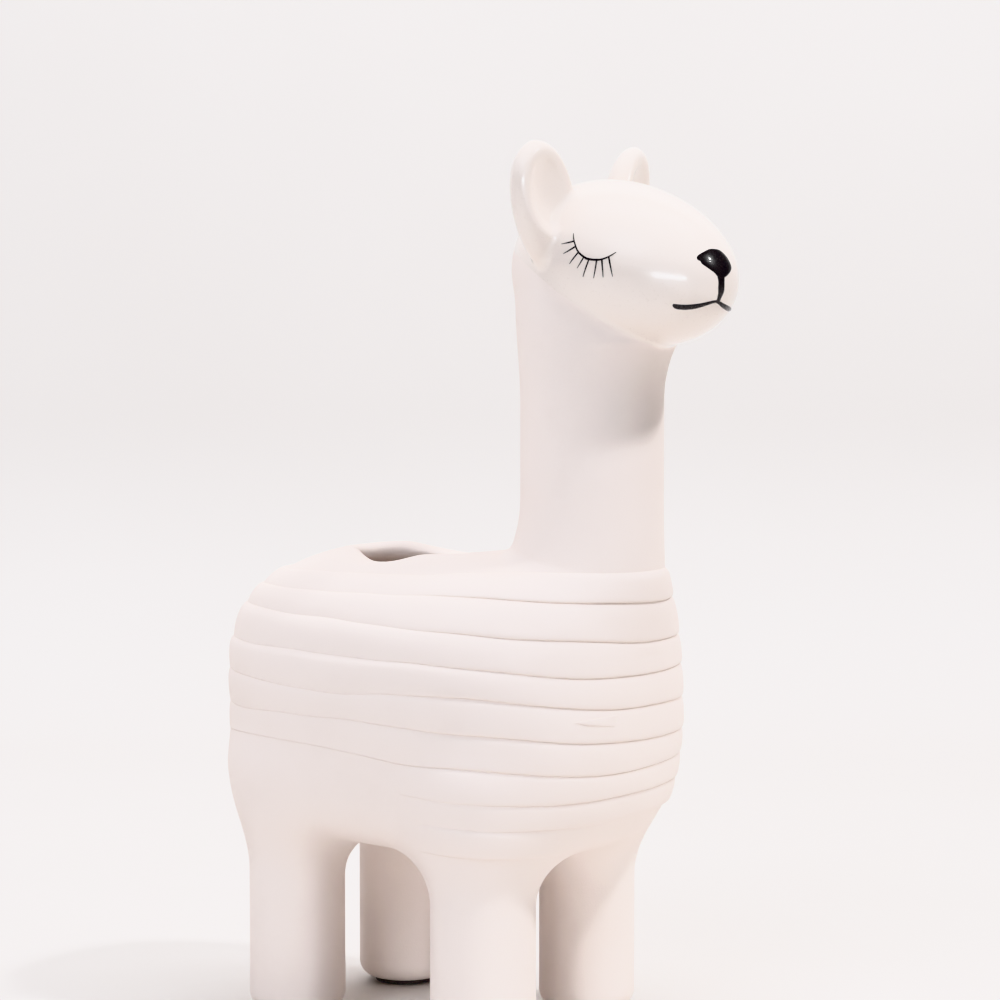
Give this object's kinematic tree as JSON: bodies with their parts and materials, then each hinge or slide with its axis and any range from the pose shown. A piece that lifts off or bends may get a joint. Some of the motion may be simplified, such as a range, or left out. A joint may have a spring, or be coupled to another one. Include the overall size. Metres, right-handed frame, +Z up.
{
  "type": "animal shaped planter",
  "caption": "Small standing llama in white ceramic, its wool wrapped in flat clay straps, with a planting well open in its back and a stoppered drain hole.",
  "frame": {"origin": "on the surface that it stands on, under the middle of the overall length and width", "axes": "+X the way the llama faces, +Y its left side, +Z up"},
  "size_m": [0.1334, 0.078, 0.206],
  "materials": {
    "white_bisque": "matte",
    "clear_glaze": "gloss",
    "black_enamel": "gloss",
    "dark_felt": "matte",
    "black_rubber": "matte"
  },
  "bodies": {
    "planter": {"body_shell": "white_bisque", "wool_band_1": "white_bisque", "wool_band_2": "white_bisque", "wool_band_3": "white_bisque", "wool_band_4": "white_bisque", "wool_band_5": "white_bisque", "wool_band_6": "white_bisque", "wool_band_7": "white_bisque", "wool_band_8": "white_bisque", "neck": "white_bisque", "leg_front_right": "white_bisque", "leg_front_left": "white_bisque", "leg_rear_right": "white_bisque", "leg_rear_left": "white_bisque", "head": "clear_glaze", "ear_right": "clear_glaze", "ear_left": "clear_glaze", "nose_enamel": "black_enamel", "mouth_enamel": "black_enamel", "lashes_right": "black_enamel", "lashes_left": "black_enamel", "foot_pad_front_right": "dark_felt", "foot_pad_front_left": "dark_felt", "foot_pad_rear_right": "dark_felt", "foot_pad_rear_left": "dark_felt"},
    "stopper": {"drain_plug": "black_rubber"}
  },
  "joints": [
    {"name": "plug_pull", "type": "slide", "parent": "planter", "child": "stopper", "axis": [0, 0, -1], "range_m": [0, 0.012]}
  ]
}
